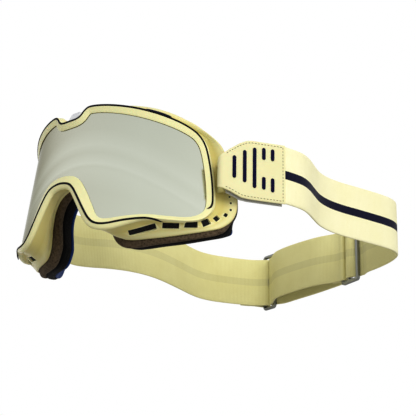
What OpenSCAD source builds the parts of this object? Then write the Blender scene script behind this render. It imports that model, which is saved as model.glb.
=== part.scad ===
// Motocross goggles: a curved mirror lens in a moulded frame, a three-layer foam seal behind it,
// and a webbing strap hooked on two hinged side tabs, with a slider and a ring at the back.
// Wearer's left is +X, the lens faces -Y, up is +Z. The origin is on the axis of the lens curve.

/* [Lens] */
// Radius of the lens curve at mid height
lens_r = 81; // [74:1:95]
// Loss of that radius for each millimetre of height, which makes the lens a cone
lens_cone = 0.12; // [0:0.01:0.16]
// Thickness of the lens
lens_t = 2; // [1.4:0.1:2.4]
// Depth of the groove that holds the edge of the lens
groove_d = 2.6; // [1.8:0.1:3]
// Clearance round the lens in its groove
lens_gap = 0.25; // [0.2:0.05:0.4]

/* [Frame] */
// Height of the raised rim above the lens
rim_h = 2.4; // [1.4:0.1:3.4]
// Width of the rim outside the stripe
shoulder_w = 4; // [3:0.1:4.6]
// Depth from the front of the lens to the face flange, at the middle
frame_depth = 18; // [15:0.5:24]
// Radius of the curve of the face flange
face_r = 98; // [94:1:115]
// Thickness of the moulded wall
wall = 2.2; // [1.8:0.1:2.6]
// Thickness of the face flange
flange_t = 2; // [1.4:0.1:2.4]
// Width of the face flange
flange_w = 8; // [6:0.5:9]

/* [Stripe] */
// Width of the black stripe round the rim
stripe_w = 1.7; // [1:0.1:2.4]
// Height of the stripe above the rim
stripe_h = 0.5; // [0.3:0.1:0.9]

/* [Vents] */
// Number of vent slots along each half of the bottom wall
vents = 7; // [3:1:7]
// Height of a vent slot
vent_h = 2.6; // [1.6:0.1:3]

/* [Foam] */
// Thickness of the open foam next to the frame
base_t = 7.5; // [5:0.5:9]
// Thickness of the dense foam in the middle
core_t = 8.5; // [6:0.5:10]
// Thickness of the fleece against the face
fleece_t = 3; // [2:0.5:4]
// Width of the foam
foam_w = 9; // [7:0.5:10]
// How far the sides of each foam layer are drawn in at its seams
foam_pinch = 0.6; // [0.2:0.1:1]

/* [Strap] */
// Width of the webbing
strap_w = 42; // [36:1:45]
// Thickness of the webbing
strap_t = 1.6; // [1.2:0.1:1.8]
// Height of the middle of the strap above the origin
strap_z = 6; // [2:1:9]

/* [Tabs] */
// Distance of each strap post out from the rim at its side
post_out = 9.6; // [8.6:0.2:12]
// Distance of each strap post back from the rim at its side
post_back = 0.6; // [-1:0.2:2]
// Radius of a strap post
post_r = 1.6; // [1.2:0.1:1.7]
// Length of a tab from its post to its rear edge
tab_l = 49; // [46:1:54]
// Thickness of the moulded skin of a tab
skin_t = 1.4; // [1:0.1:1.5]
// Angle of the left tab from straight back
tab_angle_left = 28; // [24:1:30]
// Angle of the right tab from straight back
tab_angle_right = 16; // [15:1:20]
// Width of the dark bars on a tab
bar_w = 2.6; // [1.6:0.1:3.2]

/* [Buckles] */
// Distance between the bars of the slider
bar_pitch = 9.5; // [9.5:0.1:11]
// Thickness of the slider
slider_t = 2.4; // [1.8:0.1:2.4]
// Radius of the wire of the ring
ring_r = 1.5; // [1:0.1:1.5]

/* [Hidden] */
$fn = 48;
// How many points the smooth outline has for each point of the list below
steps = 2;
// The rim at the stripe, from the middle of the brow down the wearer's left side to the nose.
// Each point holds its distance round the lens, its height, the width of the rim inside it,
// and how far the face flange lies out from it to the side and upwards.
RIM = [[0, 41, 5, 0, 16], [6.5, 41.3, 5, 1, 15.8], [10.5, 43, 5, 1.7, 14.2], [14, 46.8, 4.8, 2.5, 10.8],
    [19, 48.6, 4.8, 2.6, 9.4], [34, 47.3, 5, 3.3, 10.2], [55, 43.5, 5.4, 3.4, 11], [76, 38, 5.4, 4.3, 10],
    [90, 33, 5, 5.5, 7], [98, 28, 4.4, 6.9, 3.4], [102.5, 21, 4, 8.2, 0.8], [104.8, 10, 3.8, 9.7, -1],
    [106, -5, 3.8, 10.2, -1], [105.5, -20, 3.6, 9.1, 0], [103, -28, 3.6, 7.4, -1.5],
    [97, -33.5, 3.4, 5.3, -2.5], [88, -36.5, 3, 3.4, -3], [76, -37.4, 3, 2, -5],
    [62, -37.3, 3.2, 1.7, -7.5], [50, -38.7, 3.4, 1.4, -7.3], [38, -40.8, 4, 2.8, -5.6],
    [31, -39.8, 4.5, 3.2, -5], [26.5, -36, 5, 4.2, -3.2], [22.5, -29.5, 5.8, 7.6, -2],
    [17, -19.5, 6.4, 13, -2.5], [12, -11.5, 6.4, 15, -0.8], [7.5, -7.8, 6, 10.6, 3.4],
    [0, -6.3, 5.6, 0, 5.3]];
half = len(RIM);
face_y = face_r - lens_r + frame_depth;
hole_r = post_r + 0.08;
// Gap between a soft or stuck-on piece and its seat
seat_gap = 0.3;
fold_r = hole_r + skin_t;

// Point of the rim list beside the strap posts
side_row = 12;
// Point of a list that closes on itself
function at(list, i) = list[(i % len(list) + len(list)) % len(list)];
// Point between b and c on a smooth curve through a, b, c and d
function blend(a, b, c, d, t) = 0.5 * (2 * b + (c - a) * t + (2 * a - 5 * b + 4 * c - d) * t * t
    + (3 * b - a - 3 * c + d) * t * t * t);
function smooth_loop(p, n) = [for (i = [0:len(p) - 1], k = [0:n - 1])
    blend(at(p, i - 1), p[i], at(p, i + 1), at(p, i + 2), k / n)];
function smooth_path(p, n) = let (m = len(p) - 1)
    concat([for (i = [0:m - 1], k = [0:n - 1])
        blend(p[max(i - 1, 0)], p[i], p[i + 1], p[min(i + 2, m)], k / n)], [p[m]]);
// Unit vector to the left of the way from a to b
function left_of(a, b) = [a[1] - b[1], b[0] - a[0]] / norm([b[0] - a[0], b[1] - a[1]]);

// The whole rim: the list above, then its mirror image back up to the brow
rim = smooth_loop(concat(RIM, [for (i = [half - 2:-1:1])
    [-RIM[i][0], RIM[i][1], RIM[i][2], -RIM[i][3], RIM[i][4]]]), steps);
count = len(rim);
rim_n = [for (i = [0:count - 1]) left_of(at(rim, i - 1), at(rim, i + 1))];
// Rim outline moved out by d
function rim_out(d) = [for (i = [0:count - 1]) [rim[i][0] + rim_n[i][0] * d, rim[i][1] + rim_n[i][1] * d]];
// Edge of the lens opening moved out by d
function lens_out(d) = [for (i = [0:count - 1]) let (w = d - rim[i][2])
    [rim[i][0] + rim_n[i][0] * w, rim[i][1] + rim_n[i][1] * w]];
// Wraps a distance round the lens and a height onto the cone, h above the lens
function wrap(p, h) = let (a = p[0] / lens_r * 180 / PI, r = lens_r - lens_cone * p[1] + h)
    [r * sin(a), -r * cos(a), p[1]];
function wrap_all(list, h) = [for (p = list) wrap(p, h)];

// Outline of the face flange seen from the front, and its unit vectors outward
flange = [for (i = [0:count - 1]) let (p = wrap(rim[i], 0)) [p[0] + rim[i][3], p[2] + rim[i][4]]];
flange_n = [for (i = [0:count - 1]) left_of(at(flange, i - 1), at(flange, i + 1))];
// The same vectors evened out over their neighbours, so that a wide step inwards doesn't fold
soft_n = [for (i = [0:count - 1]) let (n = [for (k = [-4:4]) at(flange_n, i + k)]) [for (v = n) 1] * n / 9];
// The flange and the foam are wider at the temples, by this share
temple = 0.38;
function wider(i) = 1 + (abs(flange[i][0]) > 60 ? temple * pow(abs(flange_n[i][0]), 2) : 0);
// Flange outline moved in by d and back by y. The outline itself lies on an upright cylinder.
// Inside it the face leans forward like that cylinder, but never more than face_lean, and above
// the height tilt_z the whole face leans back towards the brow.
face_lean = 0.35;
face_tilt = 0.13;
tilt_z = -8;
function face_at(x, z) = face_y - sqrt(face_r * face_r - x * x) + face_tilt * max(z - tilt_z, 0);
function flange_in(d, y) = [for (i = [0:count - 1]) let (
    p = flange[i] - (d > 3 ? soft_n[i] * d * wider(i) : flange_n[i] * d), x0 = abs(flange[i][0]),
    lean = min(x0 / sqrt(face_r * face_r - x0 * x0), face_lean))
    [p[0], face_at(x0, p[1]) - lean * (x0 - abs(p[0])) + y, p[1]]];
// Ring between rings a and b, at t of the way across and s of the way back
function between(a, b, t, s) = [for (i = [0:count - 1])
    [a[i][0] + (b[i][0] - a[i][0]) * t, a[i][1] + (b[i][1] - a[i][1]) * s, a[i][2] + (b[i][2] - a[i][2]) * t]];
// Ring moved in along the rim's unit vectors by d, less where the frame is shallow
function draw_in(ring, d) = [for (i = [0:count - 1]) let (a = rim[i][0] / lens_r * 180 / PI)
    ring[i] - [rim_n[i][0] * cos(a), rim_n[i][0] * sin(a), rim_n[i][1]] * d * hollow[i]];

// Closed skin through a list of rings, where the last ring joins the first again. The diagonals
// run the other way in that last band, which lets it lie close to the skin that it rests on.
module torus(rings) {
    n = len(rings[0]);
    m = len(rings);
    polyhedron([for (r = rings) each r],
        concat([for (j = [0:m - 2], i = [0:n - 1], k = [0:1]) let (j2 = j + 1, i2 = (i + 1) % n)
            k == 0 ? [j * n + i, j2 * n + i, j * n + i2] : [j * n + i2, j2 * n + i, j2 * n + i2]],
        [for (i = [0:n - 1], k = [0:1]) let (last = (m - 1) * n, i2 = (i + 1) % n)
            k == 0 ? [last + i, i, i2] : [last + i, i2, last + i2]]));
}

// Skin through open sections of a few points each, closed by its two end sections
module sweep(sections) {
    n = len(sections[0]);
    m = len(sections);
    polyhedron([for (s = sections) each s],
        concat([[for (i = [n - 1:-1:0]) i], [for (i = [0:n - 1]) (m - 1) * n + i]],
        [for (j = [0:m - 2], i = [0:n - 1], k = [0:1]) let (i2 = (i + 1) % n)
            k == 0 ? [j * n + i, j * n + i2, (j + 1) * n + i2]
                : [j * n + i, (j + 1) * n + i2, (j + 1) * n + i]]));
}

// Rings of the frame that several pieces need
rim_edge = wrap_all(rim_out(shoulder_w), -0.6);
flange_front = flange_in(0, -flange_t);
// 1 where the frame is deep enough for a hollow behind its wall, 0 where wall and plate are one
function deep(i) = let (t = min(max((flange_front[i][1] - rim_edge[i][1] - 13.5) / 3, 0), 1)) t * t * (3 - 2 * t);
hollow = [for (i = [0:count - 1]) deep(i)];
neck = draw_in(between(rim_edge, flange_front, 0.2, 0.45), 1.2);
flare = between(rim_edge, flange_front, 0.66, 0.78);
function unit(v) = v / norm(v);
// Unit vector square to the wall, outward
wall_n = [for (i = [0:count - 1]) unit(cross(at(flare, i + 1) - at(flare, i - 1), flare[i] - neck[i]))];
function inner(ring, d) = [for (i = [0:count - 1]) ring[i] - wall_n[i] * d];
// Rings inside the frame: behind the groove, and at the front edge of the flange plate
seat = lens_t + lens_gap;
groove_back = wrap_all(lens_out(0.4), -seat - 2.2);
plate_edge = flange_in(flange_w, -flange_t);
// Ring between the wall's inner face and a straight line from the plate to the groove, at t of its way
function lining_ring(ring, t) = [for (i = [0:count - 1])
    ring[i] * hollow[i] + (plate_edge[i] + (groove_back[i] - plate_edge[i]) * t) * (1 - hollow[i])];

// Inner skin of the wall
skin_high = lining_ring(inner(flare, wall), 0.3);
skin_low = lining_ring(inner(neck, wall), 0.7);

// Rings of the whole moulding, from the lens opening over the rim, down the wall, round the face
// plate and back inside to the groove
shell = [
    wrap_all(lens_out(0), 0.7),
    wrap_all(lens_out(0.9), 1.7),
    wrap_all([for (i = [0:count - 1]) rim_out(0)[i] * 0.55 + lens_out(0)[i] * 0.45], rim_h),
    wrap_all(rim_out(-stripe_w / 2), rim_h - 0.2),
    wrap_all(rim_out(stripe_w / 2), rim_h - 0.3),
    wrap_all(rim_out(shoulder_w - 0.8), rim_h - 1.3),
    rim_edge,
    draw_in(wrap_all(rim_out(shoulder_w), -1.4), 0.9),
    neck,
    flare,
    flange_front,
    flange_in(0, 0),
    flange_in(flange_w, 0),
    plate_edge,
    lining_ring(flange_in(wall + 0.4, -flange_t), 0.1),
    skin_high,
    skin_low,
    groove_back,
    wrap_all(lens_out(0), -seat - 1.5),
    wrap_all(lens_out(0), -seat),
    wrap_all(lens_out(groove_d), -seat),
    wrap_all(lens_out(groove_d), lens_gap),
    wrap_all(lens_out(0), lens_gap)];

// One moulding: a raised rim with the lens groove inside, a drawn-in neck, a wall that flares to
// the face flange, two lugs for each strap post, and the vent slots
module frame_shell() {
    color([0.93, 0.91, 0.66]) difference() {
        union() {
            torus(shell);
            for (side = [-1, 1], z = [lug_low, lug_high])
                lug(side, z);
        }
        for (side = [-1, 1], v = [0:vents - 1])
            vent_slot(side * VENTS[v][0], VENTS[v][1]);
    }
}

// Each strap post stands beside the rim
post_at = wrap(rim[side_row * steps], 0);
post_x = post_at[0] + post_out;
post_y = post_at[1] + post_back;

// Lugs that hold each post above and below the fold of its tab
fold_low = -9.5;
fold_high = 10.5;
lug_t = 3;
lug_gap = 0.5;
lug_low = fold_low - lug_gap - lug_t;
lug_high = fold_high + lug_gap;
lug_r = post_r + 1.2;
module lug(side, z) {
    translate([side * post_x, post_y, z]) scale([side, 1, 1]) linear_extrude(lug_t)
        difference() {
            union() {
                polygon([[-9.2, 5.2], [-1.4, -2.4], [2.2, 1.7], [-2.6, 8.4], [-6.1, 6.9]]);
                circle(lug_r);
            }
            circle(post_r + 0.05);
        }
}

// Vent slots in the bottom wall: the place of each on the outline, in points of RIM, and its length
VENTS = [[19.05, 18], [17.45, 9.8], [16.5, 7.2], [15.7, 5], [14.9, 3.4], [14.1, 2.4], [13.4, 2]];
vent_depth = 9;
blind_depth = 3;
function on_ring(ring, c) = let (i = floor(c * steps), f = c * steps - i)
    at(ring, i) * (1 - f) + at(ring, i + 1) * f;
// Cuts one slot square to the wall, with its long side along the outline. Short ones are blind.
module vent_slot(place, length) {
    a = on_ring(neck, place);
    b = on_ring(flare, place);
    along = unit(on_ring(flare, place + 0.3) - on_ring(flare, place - 0.3));
    out = unit(on_ring(wall_n, place) - along * (on_ring(wall_n, place) * along));
    across = cross(out, along);
    mid = a * 0.4 + b * 0.6;
    h = min(vent_h, length * 0.8);
    depth = length > 6 ? vent_depth : blind_depth;
    multmatrix([for (r = [0:2]) [along[r], across[r], out[r], mid[r]]])
        translate([-length / 2, -h / 2, -depth / 2]) cube([length, h, depth]);
}

// Lens: columns from its lower to its upper edge, each straight up the cone, thin at the nose
lens_edge = lens_out(groove_d - 0.6);
side_i = side_row * steps;
nose_i = (half - 1) * steps;
lens_top = [for (i = [0:side_i]) lens_edge[i]];
lens_low = [for (i = [nose_i:-1:side_i]) lens_edge[i]];
lens_end = lens_edge[side_i][0];
lens_share = concat([for (k = [0:36]) k * 0.0255], [0.94, 0.96, 0.975, 0.987, 0.995, 0.9995]);
function lens_column(s) = let (hi = lookup(abs(s), lens_top), lo = lookup(abs(s), lens_low))
    [wrap([s, hi], -lens_t), wrap([s, lo], -lens_t), wrap([s, lo], 0), wrap([s, hi], 0)];
module lens() {
    m = len(lens_share);
    color([0.78, 0.8, 0.78])
        sweep([for (k = [-m + 1:m - 1]) lens_column(sign(k) * lens_share[abs(k)] * lens_end)]);
}

// Flat cord that sits on the rim between points i0 and i1 of the outline
module stripe(i0, i1) {
    lift = 0.03;
    inner = rim_out(-stripe_w / 2);
    outer = rim_out(stripe_w / 2);
    color([0.06, 0.06, 0.07])
        sweep([for (i = [i0:i1]) [wrap(at(inner, i), rim_h - 0.2 + stripe_h), wrap(at(outer, i), rim_h - 0.3 + stripe_h),
            wrap(at(outer, i), rim_h - 0.3 + lift), wrap(at(inner, i), rim_h - 0.2 + lift)]]);
}
module stripe_upper() { stripe(-13 * steps, 13 * steps); }
module stripe_lower() { stripe(18 * steps, count - 18 * steps); }

// Pad that lies on the flaring wall from point i0 to i1 of the outline, between shares t0 and t1
// of the way from the neck to the flare, t thick
module wall_pad(i0, i1, t0, t1, t) {
    lift = 0.15;
    sweep([for (i = [i0:i1]) let (a = at(neck, i), b = at(flare, i), low = a + (b - a) * t0, high = a + (b - a) * t1,
        out = at(wall_n, i))
        [low + out * lift, high + out * lift, high + out * t, low + out * t]]);
}
// Bare plate in the notch of the brow
module brow_badge() {
    color([0.85, 0.86, 0.88]) wall_pad(-1, 1, 0.15, 0.95, 1.2);
}
// Two dark bars on each side of the brow
module brow_bars() {
    color([0.1, 0.1, 0.3])
        for (span = [[5, 6], [6.5, 7.5]], side = [0, 1])
            wall_pad(side == 0 ? span[0] * steps : count - span[1] * steps,
                side == 0 ? span[1] * steps : count - span[0] * steps, 0.35, 0.8, 0.7);
}

// Black filter foam behind the vent slots
filter_t = 3;
filter_rows = [16.5, 20];
// Shares of the way up the inner skin at which the filter starts and ends
filter_span = [0, 0.75];
module vent_foam(i0, i1) {
    near = seat_gap;
    far = seat_gap + filter_t;
    color([0.1, 0.1, 0.1])
        sweep([for (i = [i0:i1]) let (n = at(wall_n, i), low = at(skin_low, i), up = at(skin_high, i) - low,
            a = low + up * filter_span[0], b = low + up * filter_span[1])
            [a - n * near, b - n * near, b - n * far, a - n * far]]);
}
module vent_foam_left() { vent_foam(filter_rows[0] * steps, filter_rows[1] * steps); }
module vent_foam_right() { vent_foam(count - filter_rows[1] * steps, count - filter_rows[0] * steps); }

// One layer of the face foam: crowned between its seams, where its sides are drawn in
foam_edge = 0.6;
foam_lean = 0.09;
module foam_layer(y0, y1, crown) {
    ys = [y0 + seat_gap, y0 + (y1 - y0) * 0.28, y1 - (y1 - y0) * 0.28, y1];
    pinch = [foam_pinch, 0, 0, foam_pinch + crown];
    rings = concat([for (k = [0:3]) flange_in(foam_edge + foam_lean * ys[k] + pinch[k], ys[k])],
        [for (k = [3:-1:0]) flange_in(foam_edge + foam_w - pinch[k], ys[k])]);
    torus(rings);
}
module foam_base() { color([0.42, 0.36, 0.3]) foam_layer(0, base_t, 0); }
module foam_core() { color([0.08, 0.08, 0.08]) foam_layer(base_t, base_t + core_t, 0); }
module foam_face() { color([0.12, 0.22, 0.5]) foam_layer(base_t + core_t, base_t + core_t + fleece_t, 0.8); }

// Posts that the tabs turn on
module strap_post(side) {
    color([0.6, 0.6, 0.6]) translate([side * post_x, post_y, lug_low])
        cylinder(h = lug_high + lug_t - lug_low, r = post_r);
}
module strap_post_left() { strap_post(1); }
module strap_post_right() { strap_post(-1); }

// Tabs, drawn with their post at the origin, outward along X and back along Y
tab_low = strap_z - strap_w / 2;
tab_high = strap_z + strap_w / 2;
TAB = [[0, fold_low], [5, fold_low], [9, -12], [17, tab_low + 1.2], [21, tab_low], [tab_l, tab_low],
    [tab_l, tab_high], [24, tab_high - 0.8], [20, tab_high - 2], [5, fold_high + 1.6], [4, fold_high], [0, fold_high]];
lining_t = 1;
lining_edge = 0.8;
LINING = [[5, fold_low - 0.6], [9, -12 - lining_edge], [17, tab_low + 1.2 - lining_edge],
    [21, tab_low - lining_edge], [tab_l - 1, tab_low - lining_edge], [tab_l - 1, tab_high + 0.2],
    [24, tab_high - 0.8], [20, tab_high - 2], [5, fold_high + 0.6]];
strap_mid = hole_r - 0.1 - strap_t / 2;
module tab_place(side) {
    translate([side * post_x, post_y, 0]) mirror([side < 0 ? 1 : 0, 0, 0])
        rotate([0, 0, side > 0 ? -tab_angle_left : -tab_angle_right]) children();
}
// Flat piece of a tab: its outline, its inner face and its thickness
module tab_sheet(outline, x, t) {
    translate([x, 0, 0]) rotate([90, 0, 90]) linear_extrude(t) polygon(outline);
}
module tab(side) {
    color([0.88, 0.85, 0.65]) tab_place(side) {
        difference() {
            union() {
                tab_sheet(TAB, hole_r, skin_t);
                translate([0, 0, fold_low]) cylinder(h = fold_high - fold_low, r = fold_r);
            }
            translate([0, 0, fold_low - 1]) cylinder(h = fold_high - fold_low + 2, r = hole_r);
        }
    }
}
module tab_left() { tab(1); }
module tab_right() { tab(-1); }
module tab_lining(side) {
    color([0.8, 0.8, 0.78]) tab_place(side)
        tab_sheet(LINING, strap_mid - strap_t / 2 - 0.1 - lining_t, lining_t);
}
module tab_lining_left() { tab_lining(1); }
module tab_lining_right() { tab_lining(-1); }
// Dark bars on a tab: place along it, lower end and upper end
BARS = [[12.3, -3, 13], [19.8, -5, 18], [27, -8, 21], [33.8, 13.3, 22], [33.8, -8, 1],
    [40.3, 13.5, 22], [40.3, -9, 1]];
bar_t = 0.5;
module tab_bars(side) {
    color([0.1, 0.1, 0.3]) tab_place(side)
        for (b = BARS)
            translate([fold_r + 0.02, 0, 0]) rotate([90, 0, 90]) linear_extrude(bar_t) union() {
                translate([b[0] - bar_w / 2, b[1] + bar_w / 2]) square([bar_w, b[2] - b[1] - bar_w]);
                for (z = [b[1] + bar_w / 2, b[2] - bar_w / 2])
                    translate([b[0], z]) circle(bar_w / 2);
            }
}
module tab_bars_left() { tab_bars(1); }
module tab_bars_right() { tab_bars(-1); }

// Slider: its middle bar stands at slider_at, and slider_turn is the way to the ring
slider_at = [50.5, 189.2];
slider_turn = 160;
bar_half = 1.4;
slider_side = 2.6;
slider_h = strap_w + 1.6;
function on_slider(a, b) = slider_at + a * [cos(slider_turn), sin(slider_turn)]
    + b * [sin(slider_turn), -cos(slider_turn)];
module adjuster_slider() {
    w = 2 * (bar_pitch + bar_half);
    h = slider_h + 2 * slider_side;
    slot = bar_pitch - 2 * bar_half;
    color([0.5, 0.51, 0.52]) translate([slider_at[0], slider_at[1], strap_z]) rotate([0, 0, slider_turn])
        rotate([90, 0, 0]) translate([0, 0, -slider_t / 2]) linear_extrude(slider_t) difference() {
            union() {
                square([w - 2 * slider_side, h], center = true);
                square([w, h - 2 * slider_side], center = true);
                for (x = [-1, 1], y = [-1, 1])
                    translate([x * (w / 2 - slider_side), y * (h / 2 - slider_side)]) circle(slider_side);
            }
            for (x = [-1, 1])
                translate([x * bar_pitch / 2, 0]) square([slot, slider_h], center = true);
        }
}

// Ring of round wire bent to a tall rectangle: two upright bars, two cross bars, four bends
ring_near = [-43, 213.5];
ring_far = [-55.5, 216];
ring_end = strap_w / 2 + 0.5 + ring_r;
bend_r = 1.8;
module adjuster_ring() {
    way = ring_far - ring_near;
    w = norm(way) / 2;
    mid = (ring_near + ring_far) / 2;
    color([0.45, 0.46, 0.47]) translate([mid[0], mid[1], strap_z]) rotate([0, 0, atan2(way[1], way[0])])
        rotate([90, 0, 0]) {
            for (x = [-w, w])
                translate([x, bend_r - ring_end, 0]) rotate([-90, 0, 0])
                    cylinder(h = 2 * (ring_end - bend_r), r = ring_r);
            for (y = [-ring_end, ring_end])
                translate([bend_r - w, y, 0]) rotate([0, 90, 0])
                    cylinder(h = 2 * (w - bend_r), r = ring_r);
            for (k = [0:3])
                translate([(k == 0 || k == 3 ? 1 : -1) * (w - bend_r), (k < 2 ? 1 : -1) * (ring_end - bend_r), 0])
                    rotate([0, 0, 90 * k]) rotate_extrude(angle = 90) translate([bend_r, 0]) circle(ring_r);
        }
}

// Route of the webbing seen from above
function tab_point(side, u) = let (a = side > 0 ? tab_angle_left : tab_angle_right)
    [side * (post_x + u * sin(a) + strap_mid * cos(a)), post_y + u * cos(a) - strap_mid * sin(a)];
in_tab = [6, 20, 34, tab_l - 3, tab_l + 0.5, tab_l + 2];
loop_r = ring_r + 0.15 + strap_t / 2;
function round_bar(c, a) = c + loop_r * [cos(a), sin(a)];
p = bar_pitch;
over = slider_t / 2 + 0.5 + strap_t / 2;
NEAR = [[113.6, 32], [112, 44], [107.5, 57.5], [103.5, 70], [102.3, 83], [104, 97], [107.5, 111], [111, 125],
    [114, 138.5], [114.8, 150], [111.5, 160], [104, 167.5], [94, 173.5], [82, 178.6], [71, 182.6]];
OUTER = [[32, 200.6], [20, 204], [5, 207.8], [-10, 211.3], [-24, 214.6], [-35, 216.8]];
INNER = [[-43.2, 210.2], [-38.5, 205.5], [-31, 199.8], [-20, 195.6], [-6, 192.3], [8, 190], [20, 189.2]];
FAR = [[-58.7, 209], [-64, 203.3], [-70, 194.5], [-76.5, 183], [-81, 173], [-83.3, 161], [-82.3, 148],
    [-79.8, 134], [-77.3, 119], [-75.3, 104], [-74.8, 90], [-76.4, 77], [-80.6, 64.5], [-87.5, 53],
    [-95.5, 43.5], [-101, 34.5]];
long_route = concat([for (u = in_tab) tab_point(1, u)], NEAR,
    [on_slider(-p - 5, over + 0.3), on_slider(-p - 1.6, over), on_slider(-p + 1.6, over), on_slider(-p / 2, 0),
    on_slider(-1.6, -over), on_slider(1.5, -over), on_slider(4.3, 1), on_slider(7, 4), on_slider(p, 4.5),
    on_slider(p + 3, 4.4)], OUTER, [for (a = [84, 118, 152, 186, 222]) round_bar(ring_near, a)], INNER,
    [on_slider(p + 8, -4.8), on_slider(p + 4.4, -3.3), on_slider(p + 1.4, -2.5), on_slider(p - 0.9, -2.4),
    on_slider(p - 2.3, -1.75), on_slider(p - 2.75, 0), on_slider(p - 2.3, 1.75), on_slider(p - 0.8, 2.4),
    on_slider(p + 1.6, 2.35), on_slider(p + 4.2, 0.4), on_slider(p + 7, -1.8), on_slider(p + 10, -3.4)]);
short_route = concat([[-69.3, 199.6], [-65.9, 204.6], [-62, 209]],
    [for (a = [150, 100, 55, 10, -35]) round_bar(ring_far, a)], FAR,
    [for (k = [5:-1:0]) tab_point(-1, in_tab[k])]);
module webbing(route) {
    line = smooth_path(route, 3);
    m = len(line) - 1;
    side = [for (i = [0:m]) left_of(line[max(i - 1, 0)], line[min(i + 1, m)]) * strap_t / 2];
    color([0.86, 0.84, 0.6]) translate([0, 0, strap_z - strap_w / 2]) linear_extrude(strap_w)
        polygon(concat([for (i = [0:m]) line[i] + side[i]], [for (i = [m:-1:0]) line[i] - side[i]]));
}
module strap_long() { webbing(long_route); }
module strap_short() { webbing(short_route); }

frame_shell();
lens();
stripe_upper();
stripe_lower();
brow_badge();
brow_bars();
vent_foam_left();
vent_foam_right();
foam_base();
foam_core();
foam_face();
strap_post_left();
strap_post_right();
tab_left();
tab_right();
tab_lining_left();
tab_lining_right();
tab_bars_left();
tab_bars_right();
strap_long();
strap_short();
adjuster_slider();
adjuster_ring();
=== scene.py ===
# Motocross goggles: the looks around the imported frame. Lengths below are in millimetres unless noted.
import math

import bmesh
import bpy
import numpy as np
from mathutils import Matrix, Vector


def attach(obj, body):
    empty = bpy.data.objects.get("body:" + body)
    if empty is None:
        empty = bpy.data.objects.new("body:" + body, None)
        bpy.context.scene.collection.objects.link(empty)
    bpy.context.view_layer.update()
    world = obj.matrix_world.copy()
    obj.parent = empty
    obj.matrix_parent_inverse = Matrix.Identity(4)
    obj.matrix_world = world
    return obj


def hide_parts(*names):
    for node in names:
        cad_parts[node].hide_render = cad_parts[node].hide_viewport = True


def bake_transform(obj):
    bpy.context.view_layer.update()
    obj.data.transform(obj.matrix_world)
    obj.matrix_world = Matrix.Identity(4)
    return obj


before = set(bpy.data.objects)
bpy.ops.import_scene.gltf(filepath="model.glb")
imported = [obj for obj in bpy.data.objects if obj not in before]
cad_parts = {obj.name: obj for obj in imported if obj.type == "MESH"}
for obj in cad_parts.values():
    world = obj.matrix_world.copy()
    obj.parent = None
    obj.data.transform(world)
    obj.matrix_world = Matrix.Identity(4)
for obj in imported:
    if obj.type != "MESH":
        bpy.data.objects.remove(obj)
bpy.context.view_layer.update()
print("frame loaded")

mm = 0.001  # one millimetre in Blender's metres


class Wire:
    # one shader value; an expression on it adds the Math nodes that work it out
    def __init__(self, tree, socket):
        self.tree, self.socket = tree, socket

    def maths(self, operation, *values):
        node = self.tree.nodes.new("ShaderNodeMath")
        node.operation = operation
        for socket, value in zip(node.inputs, values):
            plug(self.tree, value, socket)
        return Wire(self.tree, node.outputs[0])

    def __add__(self, other):
        return self.maths("ADD", self, other)

    def __sub__(self, other):
        return self.maths("SUBTRACT", self, other)

    def __rsub__(self, other):
        return self.maths("SUBTRACT", other, self)

    def __mul__(self, other):
        return self.maths("MULTIPLY", self, other)

    __radd__ = __add__
    __rmul__ = __mul__

    def sine(self):
        return self.maths("SINE", self)

    def size(self):
        return self.maths("ABSOLUTE", self)

    def under(self, edge):
        return self.maths("LESS_THAN", self, edge)


def plug(tree, value, socket):
    # links a shader value to a socket, or sets a fixed one on it
    if isinstance(value, Wire):
        tree.links.new(value.socket, socket)
    else:
        socket.default_value = value


class Nodes:
    # a node tree; every node but the Math nodes comes from its node method
    def __init__(self, tree):
        self.tree = tree

    def node(self, kind, settings=None, inputs=None, out=0):
        made = self.tree.nodes.new(kind)
        for key, value in (settings or {}).items():
            if key == "ramp":
                stops = made.color_ramp.elements
                while len(stops) < len(value):
                    stops.new(0.5)
                for stop, (at, shade) in zip(stops, value):
                    stop.position, stop.color = at, (shade, shade, shade, 1)
            else:
                setattr(made, key, value)
        for key, value in (inputs or {}).items():
            plug(self.tree, value, made.inputs[key])
        return Wire(self.tree, made.outputs[out])

    def parts(self, vector):
        first = self.node("ShaderNodeSeparateXYZ", {}, {0: vector})
        return [Wire(self.tree, o) for o in first.socket.node.outputs]


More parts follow.
